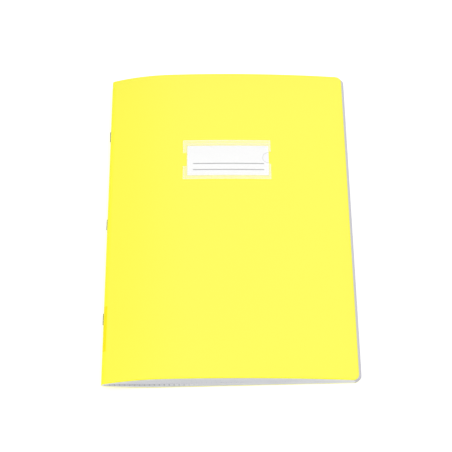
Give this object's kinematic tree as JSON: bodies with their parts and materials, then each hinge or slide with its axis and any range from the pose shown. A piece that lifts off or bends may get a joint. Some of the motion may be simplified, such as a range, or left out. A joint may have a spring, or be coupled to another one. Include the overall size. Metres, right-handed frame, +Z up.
{
  "type": "stapled exercise book",
  "caption": "Stapled exercise book with a folded plastic cover, nested paper sheets and a clear label pocket holding a slide-out card.",
  "frame": {"origin": "on the flat underside of the back cover, under the middle of the pressed book", "axes": "+X from the spine to the fore-edge, +Y up the page, +Z up out of the front cover"},
  "size_m": [0.2108, 0.297, 0.0187],
  "materials": {
    "cover_plastic": "translucent polypropylene sheet, fine satin grain, bright yellow",
    "paper": "white uncoated writing paper with pale ruled lines",
    "staple_wire": "bright drawn steel wire",
    "pocket_film": "clear soft plastic film with welded edges",
    "label_card": "smooth white card with two grey writing lines"
  },
  "bodies": {
    "back_cover": {"back_cover": "cover_plastic"},
    "front_cover": {"front_cover": "cover_plastic", "label_pocket": "pocket_film"},
    "spine": {"cover_spine": "cover_plastic", "staples": "staple_wire", "sheet_01_fold": "paper", "sheet_02_fold": "paper", "sheet_03_fold": "paper", "sheet_04_fold": "paper", "sheet_05_fold": "paper", "sheet_06_fold": "paper", "sheet_07_fold": "paper", "sheet_08_fold": "paper", "sheet_09_fold": "paper", "sheet_10_fold": "paper"},
    "label_card": {"label_card": "label_card"},
    "sheet_01_back": {"sheet_01_back_leaf": "paper"},
    "sheet_01_front": {"sheet_01_front_leaf": "paper"},
    "sheet_02_back": {"sheet_02_back_leaf": "paper"},
    "sheet_02_front": {"sheet_02_front_leaf": "paper"},
    "sheet_03_back": {"sheet_03_back_leaf": "paper"},
    "sheet_03_front": {"sheet_03_front_leaf": "paper"},
    "sheet_04_back": {"sheet_04_back_leaf": "paper"},
    "sheet_04_front": {"sheet_04_front_leaf": "paper"},
    "sheet_05_back": {"sheet_05_back_leaf": "paper"},
    "sheet_05_front": {"sheet_05_front_leaf": "paper"},
    "sheet_06_back": {"sheet_06_back_leaf": "paper"},
    "sheet_06_front": {"sheet_06_front_leaf": "paper"},
    "sheet_07_back": {"sheet_07_back_leaf": "paper"},
    "sheet_07_front": {"sheet_07_front_leaf": "paper"},
    "sheet_08_back": {"sheet_08_back_leaf": "paper"},
    "sheet_08_front": {"sheet_08_front_leaf": "paper"},
    "sheet_09_back": {"sheet_09_back_leaf": "paper"},
    "sheet_09_front": {"sheet_09_front_leaf": "paper"},
    "sheet_10_back": {"sheet_10_back_leaf": "paper"},
    "sheet_10_front": {"sheet_10_front_leaf": "paper"}
  },
  "joints": [
    {"name": "front_cover_hinge", "type": "hinge", "parent": "back_cover", "child": "front_cover", "pos_m": [-0.1023, 0, 0.0074], "axis": [0, -1, 0], "range_deg": [0, 175], "deforming": ["cover_spine", "sheet_01_fold", "sheet_02_fold", "sheet_03_fold", "sheet_04_fold", "sheet_05_fold", "sheet_06_fold", "sheet_07_fold", "sheet_08_fold", "sheet_09_fold", "sheet_10_fold"]},
    {"name": "spine_turn", "type": "hinge", "parent": "back_cover", "child": "spine", "pos_m": [-0.1023, 0, 0.0074], "axis": [0, -1, 0], "range_deg": [0, 87.5]},
    {"name": "label_card_slide", "type": "hinge", "parent": "front_cover", "child": "label_card", "pos_m": [-0.0513, 0, -0.98001], "axis": [0, 1, 0], "range_deg": [0, 4.3]},
    {"name": "sheet_01_back_turn", "type": "hinge", "parent": "back_cover", "child": "sheet_01_back", "pos_m": [-0.1023, 0, 0.0074], "axis": [0, -1, 0], "range_deg": [0, 0.526]},
    {"name": "sheet_01_front_turn", "type": "hinge", "parent": "sheet_01_back", "child": "sheet_01_front", "pos_m": [-0.1023, 0, 0.0074], "axis": [0, -1, 0], "range_deg": [0, 173.6]},
    {"name": "sheet_02_back_turn", "type": "hinge", "parent": "back_cover", "child": "sheet_02_back", "pos_m": [-0.1023, 0, 0.0074], "axis": [0, -1, 0], "range_deg": [0, 1.05]},
    {"name": "sheet_02_front_turn", "type": "hinge", "parent": "sheet_02_back", "child": "sheet_02_front", "pos_m": [-0.1023, 0, 0.0074], "axis": [0, -1, 0], "range_deg": [0, 172.49]},
    {"name": "sheet_03_back_turn", "type": "hinge", "parent": "back_cover", "child": "sheet_03_back", "pos_m": [-0.1023, 0, 0.0074], "axis": [0, -1, 0], "range_deg": [0, 1.58]},
    {"name": "sheet_03_front_turn", "type": "hinge", "parent": "sheet_03_back", "child": "sheet_03_front", "pos_m": [-0.1023, 0, 0.0074], "axis": [0, -1, 0], "range_deg": [0, 171.38]},
    {"name": "sheet_04_back_turn", "type": "hinge", "parent": "back_cover", "child": "sheet_04_back", "pos_m": [-0.1023, 0, 0.0074], "axis": [0, -1, 0], "range_deg": [0, 2.1]},
    {"name": "sheet_04_front_turn", "type": "hinge", "parent": "sheet_04_back", "child": "sheet_04_front", "pos_m": [-0.1023, 0, 0.0074], "axis": [0, -1, 0], "range_deg": [0, 170.28]},
    {"name": "sheet_05_back_turn", "type": "hinge", "parent": "back_cover", "child": "sheet_05_back", "pos_m": [-0.1023, 0, 0.0074], "axis": [0, -1, 0], "range_deg": [0, 2.63]},
    {"name": "sheet_05_front_turn", "type": "hinge", "parent": "sheet_05_back", "child": "sheet_05_front", "pos_m": [-0.1023, 0, 0.0074], "axis": [0, -1, 0], "range_deg": [0, 169.17]},
    {"name": "sheet_06_back_turn", "type": "hinge", "parent": "back_cover", "child": "sheet_06_back", "pos_m": [-0.1023, 0, 0.0074], "axis": [0, -1, 0], "range_deg": [0, 3.15]},
    {"name": "sheet_06_front_turn", "type": "hinge", "parent": "sheet_06_back", "child": "sheet_06_front", "pos_m": [-0.1023, 0, 0.0074], "axis": [0, -1, 0], "range_deg": [0, 168.06]},
    {"name": "sheet_07_back_turn", "type": "hinge", "parent": "back_cover", "child": "sheet_07_back", "pos_m": [-0.1023, 0, 0.0074], "axis": [0, -1, 0], "range_deg": [0, 3.68]},
    {"name": "sheet_07_front_turn", "type": "hinge", "parent": "sheet_07_back", "child": "sheet_07_front", "pos_m": [-0.1023, 0, 0.0074], "axis": [0, -1, 0], "range_deg": [0, 166.95]},
    {"name": "sheet_08_back_turn", "type": "hinge", "parent": "back_cover", "child": "sheet_08_back", "pos_m": [-0.1023, 0, 0.0074], "axis": [0, -1, 0], "range_deg": [0, 4.2]},
    {"name": "sheet_08_front_turn", "type": "hinge", "parent": "sheet_08_back", "child": "sheet_08_front", "pos_m": [-0.1023, 0, 0.0074], "axis": [0, -1, 0], "range_deg": [0, 165.84]},
    {"name": "sheet_09_back_turn", "type": "hinge", "parent": "back_cover", "child": "sheet_09_back", "pos_m": [-0.1023, 0, 0.0074], "axis": [0, -1, 0], "range_deg": [0, 4.73]},
    {"name": "sheet_09_front_turn", "type": "hinge", "parent": "sheet_09_back", "child": "sheet_09_front", "pos_m": [-0.1023, 0, 0.0074], "axis": [0, -1, 0], "range_deg": [0, 164.73]},
    {"name": "sheet_10_back_turn", "type": "hinge", "parent": "back_cover", "child": "sheet_10_back", "pos_m": [-0.1023, 0, 0.0074], "axis": [0, -1, 0], "range_deg": [0, 5.25]},
    {"name": "sheet_10_front_turn", "type": "hinge", "parent": "sheet_10_back", "child": "sheet_10_front", "pos_m": [-0.1023, 0, 0.0074], "axis": [0, -1, 0], "range_deg": [0, 163.63]}
  ],
  "couplings": [
    {"joint": "spine_turn", "follows": "front_cover_hinge", "ratio": 0.5},
    {"joint": "sheet_01_back_turn", "follows": "front_cover_hinge", "ratio": 0.003},
    {"joint": "sheet_01_front_turn", "follows": "front_cover_hinge", "ratio": 0.992},
    {"joint": "sheet_02_back_turn", "follows": "front_cover_hinge", "ratio": 0.006},
    {"joint": "sheet_02_front_turn", "follows": "front_cover_hinge", "ratio": 0.98567},
    {"joint": "sheet_03_back_turn", "follows": "front_cover_hinge", "ratio": 0.009},
    {"joint": "sheet_03_front_turn", "follows": "front_cover_hinge", "ratio": 0.97933},
    {"joint": "sheet_04_back_turn", "follows": "front_cover_hinge", "ratio": 0.012},
    {"joint": "sheet_04_front_turn", "follows": "front_cover_hinge", "ratio": 0.973},
    {"joint": "sheet_05_back_turn", "follows": "front_cover_hinge", "ratio": 0.015},
    {"joint": "sheet_05_front_turn", "follows": "front_cover_hinge", "ratio": 0.96667},
    {"joint": "sheet_06_back_turn", "follows": "front_cover_hinge", "ratio": 0.018},
    {"joint": "sheet_06_front_turn", "follows": "front_cover_hinge", "ratio": 0.96033},
    {"joint": "sheet_07_back_turn", "follows": "front_cover_hinge", "ratio": 0.021},
    {"joint": "sheet_07_front_turn", "follows": "front_cover_hinge", "ratio": 0.954},
    {"joint": "sheet_08_back_turn", "follows": "front_cover_hinge", "ratio": 0.024},
    {"joint": "sheet_08_front_turn", "follows": "front_cover_hinge", "ratio": 0.94767},
    {"joint": "sheet_09_back_turn", "follows": "front_cover_hinge", "ratio": 0.027},
    {"joint": "sheet_09_front_turn", "follows": "front_cover_hinge", "ratio": 0.94133},
    {"joint": "sheet_10_back_turn", "follows": "front_cover_hinge", "ratio": 0.03},
    {"joint": "sheet_10_front_turn", "follows": "front_cover_hinge", "ratio": 0.935}
  ]
}
